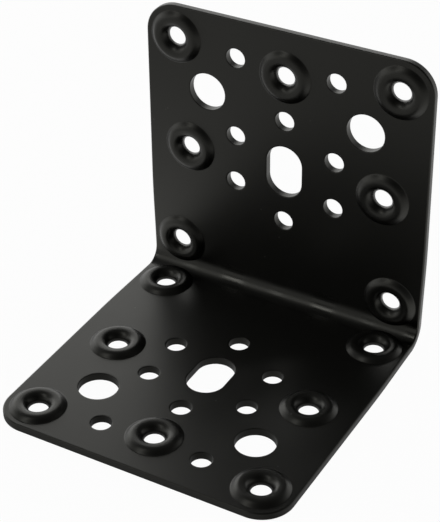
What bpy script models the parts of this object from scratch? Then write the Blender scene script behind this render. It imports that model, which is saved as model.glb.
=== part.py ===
"""Perforated angle bracket: one sheet, cut to shape, pierced, pressed and folded once into two equal legs.

Metres, +Z up. The lying leg rests on z = 0, the upright leg has its back to +Y, and the origin is in the
middle of the footprint. Both legs carry the same pattern, and each leg is symmetric about x = 0.
"""

import math

import bmesh
import bpy
from mathutils import Vector

NAME = "perforated_angle_bracket"

# The sheet. Leg length runs from the outside of the fold to the free end.
WIDTH = 0.0800
LEG_LENGTH = 0.0812
THICKNESS = 0.0021
FOLD_INNER_RADIUS = 0.0030
CORNER_RADIUS = 0.0085
WAIST_DEPTH = 0.0004
WAIST_REACH = 0.0280
EDGE_ROUNDING = 0.0004

# Screw holes, bolt holes and slot. A row is its distance from the leg's free end.
SCREW_HOLE_RADIUS = 0.00268
BOLT_HOLE_RADIUS = 0.00515
SLOT_WIDTH = 0.0101
SLOT_LENGTH = 0.0148
SLOT_ROW = 0.0401
BOLT_ROW = 0.02245
BOLT_SPREAD = 0.0224
END_HOLE_ROW = 0.0107
SCREW_SPREAD = 0.0141
HEXAGON_TIP = 0.0149
HEXAGON_FLANK = 0.0068

# Pressed rings: a round crest about a dished screw hole, raised on the inner face and hollow behind.
PRESSED_HOLE_RADIUS = 0.00255
RING_FOOT_RADIUS = 0.0074
RING_CREST_RADIUS = 0.0051
RING_HEIGHT = 0.00125
DISH_LIP = -0.0004
DISH_BACK = 0.0008
DISH_FULLNESS = 3
FLANK_FULLNESS = 0.65
CORNER_RING_LAND = 0.0013
FOLD_RING_LAND = 0.0015
MIDDLE_RING_LAND = 0.00267
FOLD_RING_GAP = 0.0034
SIDE_RING_SPREAD = 0.0277

# How finely curves are divided
RING_STEPS = 24
DISH_BANDS = (0.0, 0.3)
FLANK_BANDS = 3
SCREW_STEPS = 24
BOLT_STEPS = 32
SLOT_END_STEPS = 12
CORNER_STEPS = 8
WAIST_STEPS = 8
FOLD_STEPS = 8
ROUNDING_STEPS = 2

# The fold: its arc is measured at the middle of the sheet, where bending neither stretches nor shortens it.
FOLD_OUTER_RADIUS = FOLD_INNER_RADIUS + THICKNESS
FOLD_NEUTRAL_RADIUS = FOLD_INNER_RADIUS + THICKNESS / 2
FOLD_ARC = FOLD_NEUTRAL_RADIUS * math.pi / 2
FLAT_LENGTH = LEG_LENGTH - FOLD_OUTER_RADIUS
HALF_BLANK = FLAT_LENGTH + FOLD_ARC / 2

SAME_PLACE = 1e-6
NEAR_OUTLINE = 2e-5


def empty_scene():
    for item in list(bpy.data.objects):
        bpy.data.objects.remove(item, do_unlink=True)


def swell(part):
    """Smooth rise from 0 to 1 while part goes from 0 to 1."""
    return (1 - math.cos(math.pi * part)) / 2


def roll(part):
    """Rise from 0 to 1 that starts steep and rounds over towards its end."""
    return 1 - (1 - part) ** DISH_FULLNESS


def along_blank(row):
    """Distance from the fold's middle line of a row given from the free end."""
    return HALF_BLANK - row


def screw_holes():
    """Plain screw holes of one leg: two near the end and a hexagon about the slot."""
    holes = []
    for side in (-1, 1):
        x = side * SCREW_SPREAD
        holes.append((x, along_blank(END_HOLE_ROW)))
        holes.append((0.0, along_blank(SLOT_ROW + side * HEXAGON_TIP)))
        for step in (-1, 1):
            holes.append((x, along_blank(SLOT_ROW + step * HEXAGON_FLANK)))
    return holes


def bolt_holes():
    return [(side * BOLT_SPREAD, along_blank(BOLT_ROW)) for side in (-1, 1)]


def ring_centres():
    """Pressed rings of one leg: two in the corners, one at the end, two beside the slot, two at the fold."""
    corner_inset = RING_FOOT_RADIUS + CORNER_RING_LAND
    corner_x = WIDTH / 2 - corner_inset
    fold_x = WIDTH / 2 - RING_FOOT_RADIUS - FOLD_RING_LAND
    first_hole = SLOT_ROW - HEXAGON_TIP - SCREW_HOLE_RADIUS
    middle_row = first_hole - MIDDLE_RING_LAND - RING_FOOT_RADIUS
    fold_row = LEG_LENGTH - FOLD_RING_GAP - RING_FOOT_RADIUS
    centres = [(0.0, along_blank(middle_row))]
    for side in (-1, 1):
        centres.append((side * corner_x, along_blank(corner_inset)))
        centres.append((side * SIDE_RING_SPREAD, along_blank(SLOT_ROW)))
        centres.append((side * fold_x, along_blank(fold_row)))
    return centres


def arc(centre, radius, start, turn, steps):
    """Points along an arc, both ends included. Angles are in quarter turns."""
    points = []
    for i in range(steps + 1):
        angle = (start + turn * i / steps) * math.pi / 2
        points.append((centre[0] + radius * math.cos(angle), centre[1] + radius * math.sin(angle)))
    return points


def circle(centre, radius, steps):
    return arc(centre, radius, 0, 4, steps)[:-1]


def slot_outline():
    radius = SLOT_WIDTH / 2
    reach = SLOT_LENGTH / 2 - radius
    y = along_blank(SLOT_ROW)
    far_end = arc((0.0, y + reach), radius, 0, 2, SLOT_END_STEPS)
    return far_end + arc((0.0, y - reach), radius, 2, 2, SLOT_END_STEPS)


def half_width(y):
    """Half the blank's width. Folding draws the sides in a little towards the fold's middle line."""
    near = max(0.0, 1.0 - abs(y) / WAIST_REACH)
    return WIDTH / 2 - WAIST_DEPTH * swell(near)


def leg_outline():
    """One leg of the blank and half of the fold, open at the fold's middle line."""
    x = WIDTH / 2 - CORNER_RADIUS
    y = HALF_BLANK - CORNER_RADIUS
    levels = [WAIST_REACH * i / WAIST_STEPS for i in range(WAIST_STEPS + 1)]
    right = [(half_width(level), level) for level in levels]
    left = [(-half_width(level), level) for level in reversed(levels)]
    corners = arc((x, y), CORNER_RADIUS, 0, 1, CORNER_STEPS)
    return right + corners + arc((-x, y), CORNER_RADIUS, 1, 1, CORNER_STEPS) + left


def filled_outlines(loops):
    """A flat face inside the first outline with the others left out of it."""
    curve = bpy.data.curves.new("blank outline", "CURVE")
    curve.dimensions = "2D"
    curve.fill_mode = "BOTH"
    for loop in loops:
        spline = curve.splines.new("POLY")
        spline.points.add(len(loop) - 1)
        for point, (x, y) in zip(spline.points, loop):
            point.co = (x, y, 0.0, 1.0)
        spline.use_cyclic_u = True
    drawn = bpy.data.objects.new("blank outline", curve)
    bpy.context.scene.collection.objects.link(drawn)
    evaluated = drawn.evaluated_get(bpy.context.evaluated_depsgraph_get())
    sheet = bmesh.new()
    sheet.from_mesh(bpy.data.meshes.new_from_object(evaluated))
    bpy.data.objects.remove(drawn, do_unlink=True)
    bpy.data.curves.remove(curve)
    bmesh.ops.remove_doubles(sheet, verts=sheet.verts, dist=SAME_PLACE)
    bmesh.ops.beautify_fill(sheet, faces=sheet.faces, edges=sheet.edges, method="AREA")
    return sheet


def band_radii():
    """Radii from a pressed ring's hole, over its crest, to its foot."""
    dish = RING_CREST_RADIUS - PRESSED_HOLE_RADIUS
    flank = RING_FOOT_RADIUS - RING_CREST_RADIUS
    radii = [PRESSED_HOLE_RADIUS + dish * part for part in DISH_BANDS]
    return radii + [RING_CREST_RADIUS + flank * i / FLANK_BANDS for i in range(FLANK_BANDS + 1)]


def add_ring_bands(sheet, centre):
    """Fill the blank from a ring's foot in to its hole with round bands."""
    x, y = centre
    verts = [sheet.verts.new((x + radius, y, 0.0)) for radius in band_radii()]
    edges = [sheet.edges.new(pair) for pair in zip(verts, verts[1:])]
    bmesh.ops.spin(
        sheet,
        geom=verts + edges,
        cent=(x, y, 0.0),
        axis=(0.0, 0.0, 1.0),
        dvec=(0.0, 0.0, 0.0),
        angle=2 * math.pi,
        steps=RING_STEPS,
        use_merge=True,
    )


def flat_leg():
    loops = [leg_outline(), slot_outline()]
    loops += [circle(centre, SCREW_HOLE_RADIUS, SCREW_STEPS) for centre in screw_holes()]
    loops += [circle(centre, BOLT_HOLE_RADIUS, BOLT_STEPS) for centre in bolt_holes()]
    loops += [circle(centre, RING_FOOT_RADIUS, RING_STEPS) for centre in ring_centres()]
    sheet = filled_outlines(loops)
    for centre in ring_centres():
        add_ring_bands(sheet, centre)
    bmesh.ops.remove_doubles(sheet, verts=sheet.verts, dist=SAME_PLACE)
    return sheet


def divide_fold(sheet):
    """Cut lines across the fold, so that it can turn in equal steps."""
    for i in range(1, FOLD_STEPS // 2 + 1):
        bmesh.ops.bisect_plane(
            sheet,
            geom=sheet.verts[:] + sheet.edges[:] + sheet.faces[:],
            dist=SAME_PLACE,
            plane_co=(0.0, FOLD_ARC * i / FOLD_STEPS, 0.0),
            plane_no=(0.0, 1.0, 0.0),
        )


def add_other_leg(sheet):
    geometry = sheet.verts[:] + sheet.edges[:] + sheet.faces[:]
    bmesh.ops.mirror(sheet, geom=geometry, merge_dist=SAME_PLACE, axis="Y")
    bmesh.ops.recalc_face_normals(sheet, faces=sheet.faces)
    if sheet.faces[0].normal.z > 0:
        bmesh.ops.reverse_faces(sheet, faces=sheet.faces)


def thicken(sheet):
    """Raise a copy of the sheet by its thickness and wall in every edge."""
    made = bmesh.ops.extrude_face_region(sheet, geom=sheet.faces[:], use_keep_orig=True)
    raised = [item for item in made["geom"] if isinstance(item, bmesh.types.BMVert)]
    bmesh.ops.translate(sheet, verts=raised, vec=(0.0, 0.0, THICKNESS))
    bmesh.ops.recalc_face_normals(sheet, faces=sheet.faces)


def on_outline(point):
    """Whether a point of the blank lies on its outer edge."""
    x = abs(point.x) - (half_width(point.y) - CORNER_RADIUS)
    y = abs(point.y) - (HALF_BLANK - CORNER_RADIUS)
    reach = math.hypot(x, y) if x > 0 and y > 0 else max(x, y)
    return reach > CORNER_RADIUS - NEAR_OUTLINE


def round_outline(sheet):
    rims = []
    for edge in sheet.edges:
        level = abs(edge.verts[0].co.z - edge.verts[1].co.z) < SAME_PLACE
        if level and all(on_outline(v.co) for v in edge.verts) and edge.calc_face_angle(0.0) > 1:
            rims.append(edge)
    bmesh.ops.bevel(
        sheet,
        geom=rims,
        offset=EDGE_ROUNDING,
        offset_type="OFFSET",
        segments=ROUNDING_STEPS,
        profile=0.5,
        affect="EDGES",
        loop_slide=False,
        material=-1,
    )


def lift(radius, lip):
    """Height pressed into the sheet at a radius, with the hole's edge at the given height."""
    if radius >= RING_CREST_RADIUS:
        flank = RING_FOOT_RADIUS - RING_CREST_RADIUS
        part = (RING_FOOT_RADIUS - radius) / flank
        return RING_HEIGHT * swell(part ** FLANK_FULLNESS)
    dish = RING_CREST_RADIUS - PRESSED_HOLE_RADIUS
    return lip + (RING_HEIGHT - lip) * roll((radius - PRESSED_HOLE_RADIUS) / dish)


def press_rings(sheet):
    centres = [Vector((x, side * y)) for x, y in ring_centres() for side in (-1, 1)]
    for vert in sheet.verts:
        radius = min((vert.co.xy - centre).length for centre in centres)
        if radius < RING_FOOT_RADIUS - SAME_PLACE:
            upper = vert.co.z > THICKNESS / 2
            vert.co.z += lift(max(radius, PRESSED_HOLE_RADIUS), DISH_LIP if upper else DISH_BACK)


def folded(point):
    """Where a point of the blank comes to lie once the sheet is folded."""
    turn = point.y / FOLD_NEUTRAL_RADIUS + math.pi / 4
    turn = min(max(turn, 0.0), math.pi / 2)
    straight = point.y - (turn - math.pi / 4) * FOLD_NEUTRAL_RADIUS
    reach = FOLD_OUTER_RADIUS - point.z
    y = LEG_LENGTH / 2 - FOLD_OUTER_RADIUS + reach * math.sin(turn) + straight * math.cos(turn)
    z = FOLD_OUTER_RADIUS - reach * math.cos(turn) + straight * math.sin(turn)
    return Vector((point.x, y, z))


def fold(sheet):
    for vert in sheet.verts:
        vert.co = folded(vert.co)
    bmesh.ops.recalc_face_normals(sheet, faces=sheet.faces)


def coat_material():
    coat = bpy.data.materials.new("black powder coat")
    coat.use_nodes = True
    surface = coat.node_tree.nodes["Principled BSDF"]
    surface.inputs["Base Color"].default_value = (0.010, 0.010, 0.0095, 1.0)
    surface.inputs["Metallic"].default_value = 0.0
    surface.inputs["Roughness"].default_value = 0.42
    return coat


def make_bracket():
    sheet = flat_leg()
    divide_fold(sheet)
    add_other_leg(sheet)
    thicken(sheet)
    round_outline(sheet)
    press_rings(sheet)
    fold(sheet)
    mesh = bpy.data.meshes.new(NAME)
    sheet.to_mesh(mesh)
    sheet.free()
    mesh.materials.append(coat_material())
    mesh.shade_smooth()
    mesh.set_sharp_from_angle(angle=math.radians(32))
    bracket = bpy.data.objects.new(NAME, mesh)
    collection = bpy.data.collections.new(NAME)
    bpy.context.scene.collection.children.link(collection)
    collection.objects.link(bracket)
    return bracket


empty_scene()
make_bracket()
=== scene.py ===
"""Perforated angle bracket: one black powder-coated sheet, pierced, pressed and folded.

Metres, +Z up. The lying leg rests on a white studio floor, the upright leg has its back to +Y,
and the fold runs along X.
"""

import math

import bmesh
import bpy
from bpy.props import FloatProperty, FloatVectorProperty, IntProperty, PointerProperty
from mathutils import Matrix, Vector


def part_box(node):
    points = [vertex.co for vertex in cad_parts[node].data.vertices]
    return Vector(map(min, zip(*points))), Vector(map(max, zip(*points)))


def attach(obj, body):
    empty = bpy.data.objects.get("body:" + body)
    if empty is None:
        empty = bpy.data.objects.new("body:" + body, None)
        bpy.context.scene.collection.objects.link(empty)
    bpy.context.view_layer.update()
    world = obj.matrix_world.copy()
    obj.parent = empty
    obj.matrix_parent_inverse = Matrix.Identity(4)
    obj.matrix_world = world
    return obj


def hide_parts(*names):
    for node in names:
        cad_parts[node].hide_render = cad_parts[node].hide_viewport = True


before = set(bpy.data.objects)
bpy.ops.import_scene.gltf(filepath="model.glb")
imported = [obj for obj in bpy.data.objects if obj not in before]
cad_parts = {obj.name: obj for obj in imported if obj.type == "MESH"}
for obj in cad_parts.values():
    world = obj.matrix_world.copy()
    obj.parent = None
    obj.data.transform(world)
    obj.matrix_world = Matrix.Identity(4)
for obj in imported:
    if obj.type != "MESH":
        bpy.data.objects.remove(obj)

bl_info = {
    "name": "Perforated Angle Bracket",
    "version": (1, 0, 0),
    "blender": (4, 5, 0),
    "location": "View3D > Sidebar > Bracket",
    "description": "A pierced and pressed angle bracket in black powder coat, with its studio",
    "category": "Add Mesh",
}

NODE = "perforated_angle_bracket"
PIECE = "folded_sheet"
SOLID_LOW, SOLID_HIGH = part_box(NODE)

# Points nearer than this are one, a point this close to the outline is on it, and an edge
# whose faces meet at more than this angle, in radians, is a rim
SAME_PLACE = 1e-6
OUTLINE_SLACK = 0.00003
RIM_ANGLE = 1.2

# Narrow flat bands that keep the flat faces flat: along the outline and the holes, inside a
# ring's foot, and on both sides of the fold; and how far, out of 100, large faces lead the shading
EDGE_BAND = 0.00005
RING_BAND = 0.00010
FOLD_BAND = 0.0006
FLAT_WEIGHT = 100

# Steps of the curves, and cuts of the straight edges that keep the faces beside them even
SIDE_CUTS, END_CUTS = 23, 35
CORNER_STEPS, SLOT_STEPS, SCREW_STEPS, BOLT_STEPS = 20, 32, 48, 72
DISH_STEPS, FLANK_STEPS = 12, 16
OUTLINE_SEGMENTS, INNER_RIM_SEGMENTS, OUTER_RIM_SEGMENTS = 5, 4, 2

# The outer rims' rounding as a share of the inner rims', and how full the rings are pressed
OUTER_RIM_SHARE = 0.25
FLANK_FULLNESS = 0.65
DISH_FULLNESS = 3

# The coat: the grain's fineness and height against the soft waves, their detail, the broad
# changes of gloss per metre, and how far these take the roughness from its middle
WAVE_DETAIL, GRAIN_DETAIL, VARIATION_DETAIL = 1.5, 2.0, 3.0
GRAIN_FINENESS, GRAIN_HEIGHT = 6.0, 0.12
VARIATIONS_PER_METRE = 60.0
GLOSS_SPREAD = 0.03

# Dust: cells per metre, the part of a cell from a speck's rim to its middle, and the patches
# in which specks lie
CELLS_PER_METRE = 260.0
SPECK_REACH = (0.075, 0.03)
PATCHES_PER_METRE, PATCH_DETAIL, PATCH_LEVEL = 45.0, 2.0, 0.58

# Fold marks: how deep in the corner they start and are full, as Y less Z, how far their waves
# are shifted along X, the shares of the slow and the quick wave, and the sums between which a
# mark comes up
MARK_ZONE = (0.0302, 0.0326)
MARK_SHIFT = 0.0145
SLOW_SHARE, QUICK_SHARE = 0.35, 0.65
MARK_LEVELS = (-0.3, 0.9)

# The floor: its share of white, and the painted light and shade in the white that the coat
# mirrors, which brightens from the front to the back, over Y, as a painted falloff of light, and
# away from the bracket, over the distance beyond its footprint, as a painted shadow near it
FLOOR_SIZE = 3.0
FLOOR_HEIGHT = -0.0001
WHITE_SHARE = 0.97
PAINTED_FALLOFF_SPAN, PAINTED_FALLOFF_LEVELS = (-0.045, 0.025), (0.50, 1.0)
PAINTED_SHADOW_SPAN, PAINTED_SHADOW_LEVELS = (-0.002, 0.006), (0.40, 1.0)

# The room: the height of the direction, over which it dims, and its levels from the front
# right, where Y less X is least, to the back left
ROOM_HEIGHTS = (0.34, 0.52)
ROOM_DIAGONAL, ROOM_SIDES = (-1.4, 1.4), (0.10, 1.5)

# Each lamp's name, place, target, width, height and watts
LAMPS = (
    ("Back left softbox", (-0.603, 0.603, 0.562), (0.0, 0.0, 0.04), 1.4, 0.27, 2.1),
    ("Overhead softbox", (-0.400, -0.580, 0.760), (0.0, 0.037, 0.0), 0.13, 0.55, 0.78),
)

# Where the camera stands, its own right and up, how far its frame lies off its axis, and the
# photograph's focal length and height in pixels, for a sensor in millimetres
CAMERA_PLACE = (0.178119, -0.307865, 0.279954)
CAMERA_RIGHT = (0.860963, 0.508159, -0.022738)
CAMERA_UP = (-0.257453, 0.473878, 0.842115)
CAMERA_SHIFT = (0.0873, -0.1041)
FOCAL_PIXELS, FRAME_PIXELS = 1775.86, 522.0
SENSOR = 36.0
NEAREST_SEEN = 0.01

WHITE = (1.0, 1.0, 1.0, 1.0)


# Sizes and finishes that a user would change


class SheetSizes(bpy.types.PropertyGroup):
    """The blank and its fold."""

    width: FloatProperty(
        name="Width",
        description="Width of both legs, along the fold",
        default=SOLID_HIGH[0] - SOLID_LOW[0],
        unit="LENGTH",
    )
    leg: FloatProperty(
        name="Leg length",
        description="From the outside of the fold to a leg's free end",
        default=SOLID_HIGH[2] - SOLID_LOW[2],
        unit="LENGTH",
    )
    thickness: FloatProperty(
        name="Thickness",
        description="Sheet and coat together",
        default=0.0021,
        unit="LENGTH",
    )
    fold_radius: FloatProperty(
        name="Fold radius",
        description="Radius on the inner side of the fold",
        default=0.0040,
        unit="LENGTH",
    )
    corner_radius: FloatProperty(
        name="Corner radius",
        description="Radius of the legs' free corners",
        default=0.0085,
        unit="LENGTH",
    )
    outline_rounding: FloatProperty(
        name="Outline rounding",
        description="Rounding of the sheared outline under its coat",
        default=0.00045,
        unit="LENGTH",
    )
    hole_rounding: FloatProperty(
        name="Hole rounding",
        description="Rounding of the punched holes' rims on the inner side",
        default=0.0002,
        unit="LENGTH",
    )
    waist_depth: FloatProperty(
        name="Waist depth",
        description="How far folding draws each side in",
        default=0.0005,
        unit="LENGTH",
    )
    waist_reach: FloatProperty(
        name="Waist reach",
        description="How far from the fold the sides are drawn in",
        default=0.0280,
        unit="LENGTH",
    )
    fold_steps: IntProperty(
        name="Fold steps",
        description="Equal steps in which the fold turns",
        default=24,
        min=4,
    )


class HoleSizes(bpy.types.PropertyGroup):
    """The plain holes. A row is its distance from a leg's free end."""

    screw_radius: FloatProperty(
        name="Screw hole radius",
        description="Radius of the plain screw holes",
        default=0.00266,
        unit="LENGTH",
    )
    bolt_radius: FloatProperty(
        name="Bolt hole radius",
        description="Radius of the two large holes of a leg",
        default=0.00515,
        unit="LENGTH",
    )
    slot_width: FloatProperty(
        name="Slot width",
        description="Width of the round-ended slot",
        default=0.0101,
        unit="LENGTH",
    )
    slot_length: FloatProperty(
        name="Slot length",
        description="Length of the slot over its round ends",
        default=0.0148,
        unit="LENGTH",
    )
    slot_row: FloatProperty(
        name="Slot row",
        description="Row of the slot and of the rings beside it",
        default=0.0401,
        unit="LENGTH",
    )
    bolt_row: FloatProperty(
        name="Bolt row",
        description="Row of the large holes",
        default=0.02245,
        unit="LENGTH",
    )
    bolt_spread: FloatProperty(
        name="Bolt spread",
        description="From the middle line to a large hole",
        default=0.0224,
        unit="LENGTH",
    )
    end_row: FloatProperty(
        name="End row",
        description="Row of the two screw holes near the free end",
        default=0.0107,
        unit="LENGTH",
    )
    screw_spread: FloatProperty(
        name="Screw spread",
        description="From the middle line to the outer screw holes",
        default=0.0141,
        unit="LENGTH",
    )
    hexagon_tip: FloatProperty(
        name="Hexagon tip",
        description="From the slot's row to the screw holes on the middle line",
        default=0.0149,
        unit="LENGTH",
    )
    hexagon_flank: FloatProperty(
        name="Hexagon flank",
        description="From the slot's row to the hexagon's outer screw holes",
        default=0.0068,
        unit="LENGTH",
    )


class RingSizes(bpy.types.PropertyGroup):
    """The pressed rings about the dished screw holes."""

    foot_radius: FloatProperty(
        name="Foot radius",
        description="Where a ring rises from the flat sheet",
        default=0.0074,
        unit="LENGTH",
    )
    hole_radius: FloatProperty(
        name="Hole radius",
        description="Radius of the hole in a ring",
        default=0.00255,
        unit="LENGTH",
    )
    crest_radius: FloatProperty(
        name="Crest radius",
        description="Radius of a ring's highest line",
        default=0.0051,
        unit="LENGTH",
    )
    height: FloatProperty(
        name="Height",
        description="Height of the crest over the flat sheet",
        default=0.00125,
        unit="LENGTH",
    )
    lip: FloatProperty(
        name="Lip",
        description="Height of the hole's edge over the flat inner face",
        default=-0.0004,
        unit="LENGTH",
    )
    back: FloatProperty(
        name="Back",
        description="Height of the hole's edge over the flat outer face",
        default=0.0008,
        unit="LENGTH",
    )
    corner_land: FloatProperty(
        name="Corner land",
        description="Flat left between a corner ring and both edges",
        default=0.0013,
        unit="LENGTH",
    )
    fold_land: FloatProperty(
        name="Fold land",
        description="Flat left between a ring at the fold and the side",
        default=0.0015,
        unit="LENGTH",
    )
    middle_land: FloatProperty(
        name="Middle land",
        description="Flat left between the end's middle ring and the next hole",
        default=0.00267,
        unit="LENGTH",
    )
    fold_gap: FloatProperty(
        name="Fold gap",
        description="From a ring at the fold to the fold's outside",
        default=0.0034,
        unit="LENGTH",
    )
    side_spread: FloatProperty(
        name="Side spread",
        description="From the middle line to the rings beside the slot",
        default=0.0277,
        unit="LENGTH",
    )
    steps: IntProperty(
        name="Ring steps",
        description="Steps about a ring",
        default=64,
        min=8,
    )


class CoatFinish(bpy.types.PropertyGroup):
    """The black powder coat."""

    colour: FloatVectorProperty(
        name="Coat colour",
        description="Colour of the powder coat",
        default=(0.0012, 0.0012, 0.0011),
        size=3,
        subtype="COLOR",
        min=0.0,
        max=1.0,
    )
    roughness: FloatProperty(
        name="Coat roughness",
        description="Roughness of the satin coat",
        default=0.36,
        min=0.0,
        max=1.0,
        subtype="FACTOR",
    )
    peel_size: FloatProperty(
        name="Peel size",
        description="Size of the coat's soft waves",
        default=0.0013,
        unit="LENGTH",
    )
    peel_depth: FloatProperty(
        name="Peel depth",
        description="Depth of the coat's soft waves",
        default=0.0000022,
        precision=6,
        unit="LENGTH",
    )
    reflection_tint: FloatVectorProperty(
        name="Reflection tint",
        description="Colour that the coat gives to what it mirrors",
        default=(1.0, 0.995, 0.90),
        size=3,
        subtype="COLOR",
        min=0.0,
        max=1.0,
    )
    fold_roughness: FloatProperty(
        name="Fold roughness",
        description="Roughness where the folding tool has smoothed the coat",
        default=0.20,
        min=0.0,
        max=1.0,
        subtype="FACTOR",
    )
    fold_mark_pitch: FloatProperty(
        name="Fold mark pitch",
        description="From one smooth mark in the fold to the next but one",
        default=0.027,
        unit="LENGTH",
    )
    dust_colour: FloatVectorProperty(
        name="Dust colour",
        description="Colour of the few specks of dust",
        default=(0.16, 0.155, 0.145),
        size=3,
        subtype="COLOR",
        min=0.0,
        max=1.0,
    )
    dust_amount: FloatProperty(
        name="Dust amount",
        description="How much of a speck's colour shows",
        default=0.35,
        min=0.0,
        max=1.0,
        subtype="FACTOR",
    )


class StudioSettings(bpy.types.PropertyGroup):
    """Floor, lamps and camera."""

    floor_colour: FloatVectorProperty(
        name="Floor colour",
        description="Colour of the floor",
        default=(0.86, 0.86, 0.86),
        size=3,
        subtype="COLOR",
        min=0.0,
        max=1.0,
    )
    surround: FloatProperty(
        name="Surround",
        description="Brightness of the room round the lamps",
        default=0.15,
        min=0.0,
    )
    focal_length: FloatProperty(
        name="Focal length",
        description="Camera focal length in millimetres for a 36 mm sensor",
        default=FOCAL_PIXELS * SENSOR / FRAME_PIXELS,
        min=1.0,
        unit="CAMERA",
    )


# The hole pattern of one leg, in the flat blank. y runs from the fold's middle line to the
# leg's free end.


def swell(part):
    """Smooth rise from 0 to 1 while part goes from 0 to 1."""
    return (1 - math.cos(math.pi * part)) / 2


def neutral_radius(sheet):
    """Radius of the sheet's middle layer in the fold, which keeps its length."""
    return sheet.fold_radius + sheet.thickness / 2


def fold_arc(sheet):
    """Length of the fold along the middle layer."""
    return neutral_radius(sheet) * math.pi / 2


def half_blank(sheet):
    """From the fold's middle line to a leg's free end, on the flat blank."""
    return sheet.leg - sheet.fold_radius - sheet.thickness + fold_arc(sheet) / 2


def half_width(sheet, y):
    """Half of the blank's width at y, which narrows towards the fold."""
    near = max(0.0, 1.0 - abs(y) / sheet.waist_reach)
    return sheet.width / 2 - sheet.waist_depth * swell(near)


def screw_hole_places(scene):
    """Two holes near the free end, and a hexagon of six about the slot."""
    holes = scene.bracket_holes
    end = half_blank(scene.bracket_sheet)
    places = []
    for side in (-1, 1):
        x = side * holes.screw_spread
        places.append((x, end - holes.end_row))
        places.append((0.0, end - holes.slot_row - side * holes.hexagon_tip))
        for step in (-1, 1):
            places.append((x, end - holes.slot_row - step * holes.hexagon_flank))
    return places


def bolt_hole_places(scene):
    """The two large holes."""
    holes = scene.bracket_holes
    y = half_blank(scene.bracket_sheet) - holes.bolt_row
    return [(side * holes.bolt_spread, y) for side in (-1, 1)]


def ring_places(scene):
    """One ring on the middle line, and three down each side."""
    sheet, holes, rings = scene.bracket_sheet, scene.bracket_holes, scene.bracket_rings
    end = half_blank(sheet)
    inset = rings.foot_radius + rings.corner_land
    fold_x = sheet.width / 2 - rings.foot_radius - rings.fold_land
    fold_row = sheet.leg - rings.fold_gap - rings.foot_radius
    first_hole = holes.slot_row - holes.hexagon_tip - holes.screw_radius
    places = [(0.0, end - first_hole + rings.middle_land + rings.foot_radius)]
    for side in (-1, 1):
        places.append((side * (sheet.width / 2 - inset), end - inset))
        places.append((side * rings.side_spread, end - holes.slot_row))
        places.append((side * fold_x, end - fold_row))
    return places


def ring_centres(scene):
    """The centres of both legs' rings, on the whole blank."""
    return [(x, side * y) for x, y in ring_places(scene) for side in (-1, 1)]


# Modelling steps of the sheet


def everything(blank):
    return blank.verts[:] + blank.edges[:] + blank.faces[:]


def spin(blank, geometry, centre, angle, steps, merge):
    """Turn vertices and edges about an upright line and keep what they sweep."""
    bmesh.ops.spin(
        blank,
        geom=geometry,
        cent=centre,
        axis=(0.0, 0.0, 1.0),
        dvec=(0.0, 0.0, 0.0),
        angle=angle,
        steps=steps,
        use_merge=merge,
    )


def draw_line(blank, points):
    """Vertices through a few points, joined by edges."""
    verts = [blank.verts.new(point) for point in points]
    edges = [blank.edges.new(pair) for pair in zip(verts, verts[1:])]
    return verts, edges


def draw_arc(blank, start, centre, angle, steps):
    """An arc of edges from a start point about a centre."""
    spin(blank, [blank.verts.new(start)], centre, angle, steps, merge=False)


def draw_outline(blank, sheet):
    """One leg's outline and half the fold, with the sides drawn in towards the fold."""
    x = sheet.width / 2
    end = half_blank(sheet)
    radius = sheet.corner_radius
    quarter = math.pi / 2
    for side in (-1, 1):
        for low, high in ((0.0, sheet.waist_reach), (sheet.waist_reach, end - radius)):
            _, edges = draw_line(blank, [(side * x, low, 0.0), (side * x, high, 0.0)])
            bmesh.ops.subdivide_edges(blank, edges=edges, cuts=SIDE_CUTS)
    for vert in blank.verts:
        vert.co.x = math.copysign(half_width(sheet, vert.co.y), vert.co.x)
    right, left = (x - radius, end - radius, 0.0), (radius - x, end - radius, 0.0)
    draw_arc(blank, (x, end - radius, 0.0), right, quarter, CORNER_STEPS)
    draw_arc(blank, (radius - x, end, 0.0), left, quarter, CORNER_STEPS)
    _, edges = draw_line(blank, [(x - radius, end, 0.0), (radius - x, end, 0.0)])
    bmesh.ops.subdivide_edges(blank, edges=edges, cuts=END_CUTS)
    inner = half_width(sheet, 0.0)
    draw_line(blank, [(-inner, 0.0, 0.0), (inner, 0.0, 0.0)])


def draw_circle(blank, place, radius, steps):
    """A circle of edges on the flat blank."""
    bmesh.ops.create_circle(
        blank,
        cap_ends=False,
        radius=radius,
        segments=steps,
        matrix=Matrix.Translation((place[0], place[1], 0.0)),
    )


def draw_slot(blank, sheet, holes):
    """The slot's two round ends and its straight sides."""
    radius = holes.slot_width / 2
    reach = holes.slot_length / 2 - radius
    y = half_blank(sheet) - holes.slot_row
    draw_arc(blank, (radius, y + reach, 0.0), (0.0, y + reach, 0.0), math.pi, SLOT_STEPS)
    draw_arc(blank, (-radius, y - reach, 0.0), (0.0, y - reach, 0.0), math.pi, SLOT_STEPS)
    for side in (-1, 1):
        draw_line(blank, [(side * radius, y - reach, 0.0), (side * radius, y + reach, 0.0)])


def cap_rings(blank, centres, radius):
    """Close the circles about the rings while the sheet's edges are inset."""
    discs = []
    for centre in centres:
        middle = Vector(centre)
        circle = [
            vert
            for vert in blank.verts
            if abs((vert.co.xy - middle).length - radius) < SAME_PLACE
        ]
        circle.sort(key=lambda vert: math.atan2(vert.co.y - middle.y, vert.co.x - middle.x))
        discs.append(blank.faces.new(circle))
    return discs


def add_ring_bands(blank, place, radii, steps):
    """Fill a ring's foot circle with round bands, down to its hole."""
    x, y = place
    verts, edges = draw_line(blank, [(x + radius, y, 0.0) for radius in radii])
    spin(blank, verts + edges, (x, y, 0.0), 2 * math.pi, steps, merge=True)


def ring_radii(rings):
    """From the hole to the crest, on to the foot, and over the narrow flat band inside it."""
    inner, crest, foot = rings.hole_radius, rings.crest_radius, rings.foot_radius - RING_BAND
    radii = [inner + (crest - inner) * i / DISH_STEPS for i in range(DISH_STEPS)]
    radii += [crest + (foot - crest) * i / FLANK_STEPS for i in range(FLANK_STEPS + 1)]
    return radii + [foot + RING_BAND]


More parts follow.
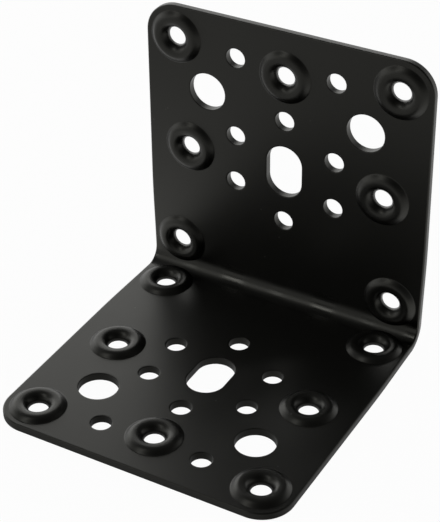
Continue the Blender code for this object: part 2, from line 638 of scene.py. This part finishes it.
def flat_blank(scene):
    """The whole flat sheet with its holes, without thickness."""
    sheet, holes, rings = scene.bracket_sheet, scene.bracket_holes, scene.bracket_rings
    blank = bmesh.new()
    draw_outline(blank, sheet)
    draw_slot(blank, sheet, holes)
    for place in screw_hole_places(scene):
        draw_circle(blank, place, holes.screw_radius, SCREW_STEPS)
    for place in bolt_hole_places(scene):
        draw_circle(blank, place, holes.bolt_radius, BOLT_STEPS)
    for place in ring_places(scene):
        draw_circle(blank, place, rings.foot_radius, rings.steps)
    bmesh.ops.remove_doubles(blank, verts=blank.verts, dist=SAME_PLACE)
    bmesh.ops.triangle_fill(blank, use_beauty=True, use_dissolve=False, edges=blank.edges)
    bmesh.ops.mirror(blank, geom=everything(blank), merge_dist=SAME_PLACE, axis="Y")
    centres = ring_centres(scene)
    discs = cap_rings(blank, centres, rings.foot_radius)
    bmesh.ops.recalc_face_normals(blank, faces=blank.faces)
    bmesh.ops.inset_region(
        blank,
        faces=blank.faces,
        use_boundary=True,
        use_even_offset=True,
        thickness=sheet.outline_rounding + EDGE_BAND,
    )
    bmesh.ops.delete(blank, geom=discs, context="FACES_ONLY")
    for centre in centres:
        add_ring_bands(blank, centre, ring_radii(rings), rings.steps)
    bmesh.ops.remove_doubles(blank, verts=blank.verts, dist=SAME_PLACE)
    bmesh.ops.recalc_face_normals(blank, faces=blank.faces)
    return blank


def thicken(blank, thickness):
    """Close the flat blank into a sheet that rises from z = 0."""
    made = bmesh.ops.extrude_face_region(blank, geom=blank.faces[:], use_keep_orig=True)
    raised = [item for item in made["geom"] if isinstance(item, bmesh.types.BMVert)]
    bmesh.ops.translate(blank, verts=raised, vec=(0.0, 0.0, thickness))
    bmesh.ops.recalc_face_normals(blank, faces=blank.faces)


def is_outline(sheet, point):
    """Whether a point of the blank is on its outline, round the corners too."""
    x = abs(point.x) - (half_width(sheet, point.y) - sheet.corner_radius)
    y = abs(point.y) - (half_blank(sheet) - sheet.corner_radius)
    reach = math.hypot(x, y) if x > 0 and y > 0 else max(x, y)
    return reach > sheet.corner_radius - OUTLINE_SLACK


def round_edges(blank, sheet):
    """Round the outline, then the holes' rims on the inner side, then those on the outer side.

    By the last round only the outer rims are still sharp, so it takes edges at any height.
    """
    middle, anywhere = sheet.thickness / 2, -sheet.thickness
    outer_rounding = sheet.hole_rounding * OUTER_RIM_SHARE
    rounds = (
        (True, anywhere, sheet.outline_rounding, OUTLINE_SEGMENTS),
        (False, middle, sheet.hole_rounding, INNER_RIM_SEGMENTS),
        (False, anywhere, outer_rounding, OUTER_RIM_SEGMENTS),
    )
    for outline, lowest, width, segments in rounds:
        rims = []
        for edge in blank.edges:
            on_outline = all(is_outline(sheet, vert.co) for vert in edge.verts)
            raised = min(vert.co.z for vert in edge.verts) > lowest
            if on_outline == outline and raised and edge.calc_face_angle(0.0) > RIM_ANGLE:
                rims.append(edge)
        bmesh.ops.bevel(
            blank,
            geom=rims,
            offset=width,
            offset_type="OFFSET",
            segments=segments,
            profile=0.5,
            affect="EDGES",
            loop_slide=False,
            material=-1,
        )


def divide_fold(blank, sheet):
    """Cut lines along the fold, and one more beside it on each leg to keep the flats flat."""
    half = fold_arc(sheet) / 2
    lines = [half * 2 * i / sheet.fold_steps - half for i in range(sheet.fold_steps + 1)]
    for y in [-half - FOLD_BAND] + lines + [half + FOLD_BAND]:
        bmesh.ops.bisect_plane(
            blank,
            geom=everything(blank),
            dist=SAME_PLACE,
            plane_co=(0.0, y, 0.0),
            plane_no=(0.0, 1.0, 0.0),
        )


def lift(radius, lip, rings):
    """Height pressed into the sheet at a radius from a ring's centre."""
    if radius >= rings.crest_radius:
        foot = rings.foot_radius - RING_BAND
        part = max((foot - radius) / (foot - rings.crest_radius), 0.0)
        return rings.height * swell(part ** FLANK_FULLNESS)
    part = max((radius - rings.hole_radius) / (rings.crest_radius - rings.hole_radius), 0.0)
    return lip + (rings.height - lip) * (1 - (1 - part) ** DISH_FULLNESS)


def press_rings(blank, scene):
    """Raise the sheet within each ring's foot, its outer face less than its inner one."""
    sheet, rings = scene.bracket_sheet, scene.bracket_rings
    centres = [Vector(centre) for centre in ring_centres(scene)]
    for vert in blank.verts:
        radius = min((vert.co.xy - centre).length for centre in centres)
        if radius < rings.foot_radius:
            upper = lift(radius, rings.lip, rings)
            lower = lift(radius, rings.back, rings)
            part = vert.co.z / sheet.thickness
            vert.co.z += lower + (upper - lower) * part


def folded(point, sheet):
    """Where a point of the blank lies once the sheet is folded."""
    outer = sheet.fold_radius + sheet.thickness
    neutral = neutral_radius(sheet)
    turn = min(max(point.y / neutral + math.pi / 4, 0.0), math.pi / 2)
    straight = point.y - (turn - math.pi / 4) * neutral
    reach = outer - point.z
    y = SOLID_HIGH[1] - outer + reach * math.sin(turn) + straight * math.cos(turn)
    z = outer - reach * math.cos(turn) + straight * math.sin(turn)
    return Vector((point.x, y, z))


def link_piece(name, mesh):
    """Add a mesh to the scene as an object of its own."""
    piece = bpy.data.objects.new(name, mesh)
    bpy.context.scene.collection.objects.link(piece)
    return piece


class BRACKET_OT_sheet(bpy.types.Operator):
    """Model the folded sheet with its holes and pressed rings"""

    bl_idname = "bracket.sheet"
    bl_label = "Folded sheet"

    def execute(self, context):
        scene = context.scene
        sheet = scene.bracket_sheet
        blank = flat_blank(scene)
        thicken(blank, sheet.thickness)
        round_edges(blank, sheet)
        divide_fold(blank, sheet)
        press_rings(blank, scene)
        for vert in blank.verts:
            vert.co = folded(vert.co, sheet)
        many_sided = [face for face in blank.faces if len(face.verts) > 4]
        bmesh.ops.triangulate(blank, faces=many_sided)
        bmesh.ops.recalc_face_normals(blank, faces=blank.faces)
        mesh = bpy.data.meshes.new(PIECE)
        blank.to_mesh(mesh)
        blank.free()
        mesh.shade_smooth()
        mesh.materials.append(powder_coat(scene.bracket_coat))
        piece = link_piece(PIECE, mesh)
        flats = piece.modifiers.new("Flat faces stay flat", "WEIGHTED_NORMAL")
        flats.mode = "FACE_AREA"
        flats.weight = FLAT_WEIGHT
        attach(piece, "root")
        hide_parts(NODE)
        return {"FINISHED"}


# Finishes


def feed(tree, socket, value):
    """Link a socket to another node's output, or set the socket's own value."""
    if isinstance(value, bpy.types.NodeSocket):
        tree.links.new(value, socket)
    else:
        socket.default_value = value


def math_node(tree, operation, *values):
    node = tree.nodes.new("ShaderNodeMath")
    node.operation = operation
    for socket, value in zip(node.inputs, values):
        feed(tree, socket, value)
    return node.outputs[0]


def noise_node(tree, coordinates, scale, detail):
    node = tree.nodes.new("ShaderNodeTexNoise")
    tree.links.new(coordinates, node.inputs["Vector"])
    feed(tree, node.inputs["Scale"], scale)
    node.inputs["Detail"].default_value = detail
    return node.outputs["Fac"]


def map_node(tree, value, span, results, interpolation="LINEAR"):
    """Change from the first result to the second while the value crosses a span."""
    node = tree.nodes.new("ShaderNodeMapRange")
    node.interpolation_type = interpolation
    labels = ("From Min", "From Max", "To Min", "To Max")
    for label, number in zip(labels, (*span, *results)):
        node.inputs[label].default_value = number
    tree.links.new(value, node.inputs["Value"])
    return node.outputs["Result"]


def mix_node(tree, kind, factor, first, second):
    """Change from the first value or colour to the second as the factor rises."""
    node = tree.nodes.new("ShaderNodeMix")
    node.data_type = kind
    for label, value in (("Factor", factor), ("A", first), ("B", second)):
        feed(tree, node.inputs[label], value)
    return node.outputs["Result"]


def split_node(tree, vector):
    """A vector's X, Y and Z."""
    node = tree.nodes.new("ShaderNodeSeparateXYZ")
    tree.links.new(vector, node.inputs["Vector"])
    return node.outputs


def coordinates_node(tree, kind):
    return tree.nodes.new("ShaderNodeTexCoord").outputs[kind]


def new_group(name, setting, default, outputs):
    """A node group that takes coordinates and one setting, and puts out numbers."""
    group = bpy.data.node_groups.new(name, "ShaderNodeTree")
    new_socket = group.interface.new_socket
    new_socket(name="Coordinates", in_out="INPUT", socket_type="NodeSocketVector")
    number = new_socket(name=setting, in_out="INPUT", socket_type="NodeSocketFloat")
    number.default_value = default
    for label in outputs:
        new_socket(name=label, in_out="OUTPUT", socket_type="NodeSocketFloat")
    given = group.nodes.new("NodeGroupInput").outputs
    return group, given["Coordinates"], given[setting], group.nodes.new("NodeGroupOutput").inputs


def place_group(tree, group, coordinates, setting, value):
    """Place a node group in a material with the material's own setting."""
    node = tree.nodes.new("ShaderNodeGroup")
    node.node_tree = group
    tree.links.new(coordinates, node.inputs["Coordinates"])
    node.inputs[setting].default_value = value
    return node.outputs


def peel_group():
    """Soft waves of a sprayed and baked coat, with a finer grain over them."""
    group, place, waves_per_metre, out = new_group(
        "Coat peel", "Waves per metre", 700.0, ("Height", "Variation")
    )
    wave = noise_node(group, place, waves_per_metre, WAVE_DETAIL)
    grains_per_metre = math_node(group, "MULTIPLY", waves_per_metre, GRAIN_FINENESS)
    grain = noise_node(group, place, grains_per_metre, GRAIN_DETAIL)
    fine = math_node(group, "MULTIPLY", grain, GRAIN_HEIGHT)
    group.links.new(math_node(group, "ADD", wave, fine), out["Height"])
    broad = noise_node(group, place, VARIATIONS_PER_METRE, VARIATION_DETAIL)
    group.links.new(broad, out["Variation"])
    return group


def dust_group():
    """A few small pale specks, more of them in some places than in others."""
    group, place, amount, out = new_group("Dust specks", "Amount", 0.3, ("Mask",))
    cells = group.nodes.new("ShaderNodeTexVoronoi")
    group.links.new(place, cells.inputs["Vector"])
    cells.inputs["Scale"].default_value = CELLS_PER_METRE
    near = map_node(group, cells.outputs["Distance"], SPECK_REACH, (0.0, 1.0))
    patches = noise_node(group, place, PATCHES_PER_METRE, PATCH_DETAIL)
    chosen = math_node(group, "GREATER_THAN", patches, PATCH_LEVEL)
    specks = math_node(group, "MULTIPLY", near, chosen)
    group.links.new(math_node(group, "MULTIPLY", specks, amount), out["Mask"])
    return group


def fold_mark_group():
    """Mask of the smooth marks that the folding tool left along the inside of the fold."""
    group, place, turns_per_metre, out = new_group(
        "Fold marks", "Turns per metre", 230.0, ("Mask",)
    )
    parts = split_node(group, place)
    depth = math_node(group, "SUBTRACT", parts["Y"], parts["Z"])
    zone = map_node(group, depth, MARK_ZONE, (0.0, 1.0), "SMOOTHSTEP")
    along = math_node(group, "ADD", parts["X"], MARK_SHIFT)
    turn = math_node(group, "MULTIPLY", along, turns_per_metre)
    double = math_node(group, "MULTIPLY", turn, 2.0)
    slow = math_node(group, "MULTIPLY", math_node(group, "COSINE", turn), SLOW_SHARE)
    quick = math_node(group, "MULTIPLY", math_node(group, "COSINE", double), QUICK_SHARE)
    both = math_node(group, "ADD", slow, quick)
    marks = map_node(group, both, MARK_LEVELS, (0.0, 1.0), "SMOOTHSTEP")
    group.links.new(math_node(group, "MULTIPLY", zone, marks), out["Mask"])
    return group


def powder_coat(coat):
    """Black satin powder coat: soft peel, changes of gloss, fold marks and a few dust specks."""
    material = bpy.data.materials.new("Black powder coat")
    material.use_nodes = True
    tree = material.node_tree
    surface = tree.nodes["Principled BSDF"].inputs
    place = coordinates_node(tree, "Object")
    peel = place_group(tree, peel_group(), place, "Waves per metre", 1.0 / coat.peel_size)
    turns_per_metre = 2 * math.pi / coat.fold_mark_pitch
    marks = place_group(tree, fold_mark_group(), place, "Turns per metre", turns_per_metre)
    dust = place_group(tree, dust_group(), place, "Amount", coat.dust_amount)
    bump = tree.nodes.new("ShaderNodeBump")
    bump.inputs["Strength"].default_value = 1.0
    bump.inputs["Distance"].default_value = coat.peel_depth
    tree.links.new(peel["Height"], bump.inputs["Height"])
    tree.links.new(bump.outputs["Normal"], surface["Normal"])
    glossy_to_dull = (coat.roughness - GLOSS_SPREAD, coat.roughness + GLOSS_SPREAD)
    satin = map_node(tree, peel["Variation"], (0.0, 1.0), glossy_to_dull)
    roughness = mix_node(tree, "FLOAT", marks["Mask"], satin, coat.fold_roughness)
    tree.links.new(roughness, surface["Roughness"])
    black, pale = (*coat.colour, 1.0), (*coat.dust_colour, 1.0)
    tree.links.new(mix_node(tree, "RGBA", dust["Mask"], black, pale), surface["Base Color"])
    surface["Specular Tint"].default_value = (*coat.reflection_tint, 1.0)
    return material


# Studio


def floor_material(studio):
    """White to the camera, with part of the shadow kept, and a pale floor to the light.

    What the coat mirrors of it is white too, but with painted shade: dimmer towards the front as a
    painted falloff of light, and dimmer near the bracket as a painted shadow.
    """
    material = bpy.data.materials.new("White floor")
    material.use_nodes = True
    tree = material.node_tree
    tree.nodes.remove(tree.nodes["Principled BSDF"])
    rays = tree.nodes.new("ShaderNodeLightPath").outputs
    place = split_node(tree, coordinates_node(tree, "Object"))
    # Painted falloff of light: the white that the coat mirrors darkens towards the front
    painted_falloff = map_node(tree, place["Y"], PAINTED_FALLOFF_SPAN, PAINTED_FALLOFF_LEVELS)
    # Painted shadow: the white that the coat mirrors darkens near the bracket's footprint
    across = math_node(tree, "SUBTRACT", math_node(tree, "ABSOLUTE", place["X"]), SOLID_HIGH[0])
    along = math_node(tree, "SUBTRACT", math_node(tree, "ABSOLUTE", place["Y"]), SOLID_HIGH[1])
    away = math_node(tree, "MAXIMUM", across, along)
    mirrored_with_painted_shade = math_node(tree, "MULTIPLY", painted_falloff, map_node(tree, away, PAINTED_SHADOW_SPAN, PAINTED_SHADOW_LEVELS))
    diffuse = tree.nodes.new("ShaderNodeBsdfDiffuse")
    diffuse.inputs["Color"].default_value = (*studio.floor_colour, 1.0)
    white = tree.nodes.new("ShaderNodeEmission")
    white.inputs["Color"].default_value = WHITE
    bright = math_node(tree, "MAXIMUM", rays["Is Camera Ray"], mirrored_with_painted_shade)
    tree.links.new(bright, white.inputs["Strength"])
    seen = tree.nodes.new("ShaderNodeMixShader")
    shown = math_node(tree, "MAXIMUM", rays["Is Camera Ray"], rays["Is Glossy Ray"])
    tree.links.new(math_node(tree, "MULTIPLY", shown, WHITE_SHARE), seen.inputs["Fac"])
    tree.links.new(diffuse.outputs[0], seen.inputs[1])
    tree.links.new(white.outputs[0], seen.inputs[2])
    tree.links.new(seen.outputs[0], tree.nodes["Material Output"].inputs["Surface"])
    return material


def light_world(studio):
    """A white room to the camera, and soft light that is strongest low down at the back left."""
    world = bpy.data.worlds.new("Studio room")
    bpy.context.scene.world = world
    world.use_nodes = True
    tree = world.node_tree
    room = tree.nodes["Background"].inputs
    room["Color"].default_value = WHITE
    rays = tree.nodes.new("ShaderNodeLightPath").outputs
    way = split_node(tree, coordinates_node(tree, "Generated"))
    fade = map_node(tree, way["Z"], ROOM_HEIGHTS, (1.0, studio.surround), "SMOOTHSTEP")
    diagonal = math_node(tree, "SUBTRACT", way["Y"], way["X"])
    side = map_node(tree, diagonal, ROOM_DIAGONAL, ROOM_SIDES)
    lit = math_node(tree, "MULTIPLY", fade, side)
    shown = math_node(tree, "MAXIMUM", rays["Is Camera Ray"], lit)
    tree.links.new(shown, room["Strength"])


def add_lamp(name, place, target, width, height, watts):
    """A soft rectangular lamp that faces its target."""
    lamp = bpy.data.lights.new(name, "AREA")
    lamp.shape = "RECTANGLE"
    lamp.size = width
    lamp.size_y = height
    lamp.energy = watts
    item = bpy.data.objects.new(name, lamp)
    item.location = place
    item.rotation_euler = (Vector(target) - Vector(place)).to_track_quat("-Z", "Y").to_euler()
    bpy.context.scene.collection.objects.link(item)


def add_camera(studio):
    """The photograph's own view: where it stands, how it is turned, and its off-centre frame."""
    camera = bpy.data.cameras.new("Camera")
    camera.sensor_fit = "AUTO"
    camera.sensor_width = SENSOR
    camera.lens = studio.focal_length
    camera.shift_x, camera.shift_y = CAMERA_SHIFT
    camera.clip_start = NEAREST_SEEN
    item = bpy.data.objects.new("Camera", camera)
    right = Vector(CAMERA_RIGHT)
    up = Vector(CAMERA_UP)
    turn = Matrix((right, up, right.cross(up))).transposed()
    item.matrix_world = Matrix.Translation(CAMERA_PLACE) @ turn.to_4x4()
    bpy.context.scene.collection.objects.link(item)
    bpy.context.scene.camera = item


class BRACKET_OT_stage(bpy.types.Operator):
    """Set the white floor, the soft lamps and the camera"""

    bl_idname = "bracket.stage"
    bl_label = "Studio"

    def execute(self, context):
        studio = context.scene.bracket_studio
        ground = bmesh.new()
        bmesh.ops.create_grid(ground, x_segments=1, y_segments=1, size=FLOOR_SIZE)
        mesh = bpy.data.meshes.new("floor")
        ground.to_mesh(mesh)
        ground.free()
        mesh.materials.append(floor_material(studio))
        floor = link_piece("floor", mesh)
        floor.location.z = FLOOR_HEIGHT
        light_world(studio)
        for lamp in LAMPS:
            add_lamp(*lamp)
        add_camera(studio)
        context.scene.view_settings.view_transform = "Standard"
        return {"FINISHED"}


class BRACKET_PT_panel(bpy.types.Panel):
    """Lists the bracket's parts and sizes"""

    bl_idname = "BRACKET_PT_panel"
    bl_label = "Perforated angle bracket"
    bl_space_type = "VIEW_3D"
    bl_region_type = "UI"
    bl_category = "Bracket"

    def draw(self, context):
        for item in (BRACKET_OT_sheet, BRACKET_OT_stage):
            self.layout.operator(item.bl_idname)
        for name in GROUPS:
            settings = getattr(context.scene, name)
            box = self.layout.box()
            for field in settings.bl_rna.properties.keys():
                if field not in ("rna_type", "name"):
                    box.prop(settings, field)


GROUPS = {
    "bracket_sheet": SheetSizes,
    "bracket_holes": HoleSizes,
    "bracket_rings": RingSizes,
    "bracket_coat": CoatFinish,
    "bracket_studio": StudioSettings,
}
CLASSES = (*GROUPS.values(), BRACKET_OT_sheet, BRACKET_OT_stage, BRACKET_PT_panel)


def register():
    for item in CLASSES:
        bpy.utils.register_class(item)
    for name, group in GROUPS.items():
        setattr(bpy.types.Scene, name, PointerProperty(type=group))


def unregister():
    for name in GROUPS:
        delattr(bpy.types.Scene, name)
    for item in reversed(CLASSES):
        bpy.utils.unregister_class(item)


def main():
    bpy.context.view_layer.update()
    register()
    bpy.ops.bracket.sheet()
    bpy.ops.bracket.stage()


if __name__ == "__main__":
    main()
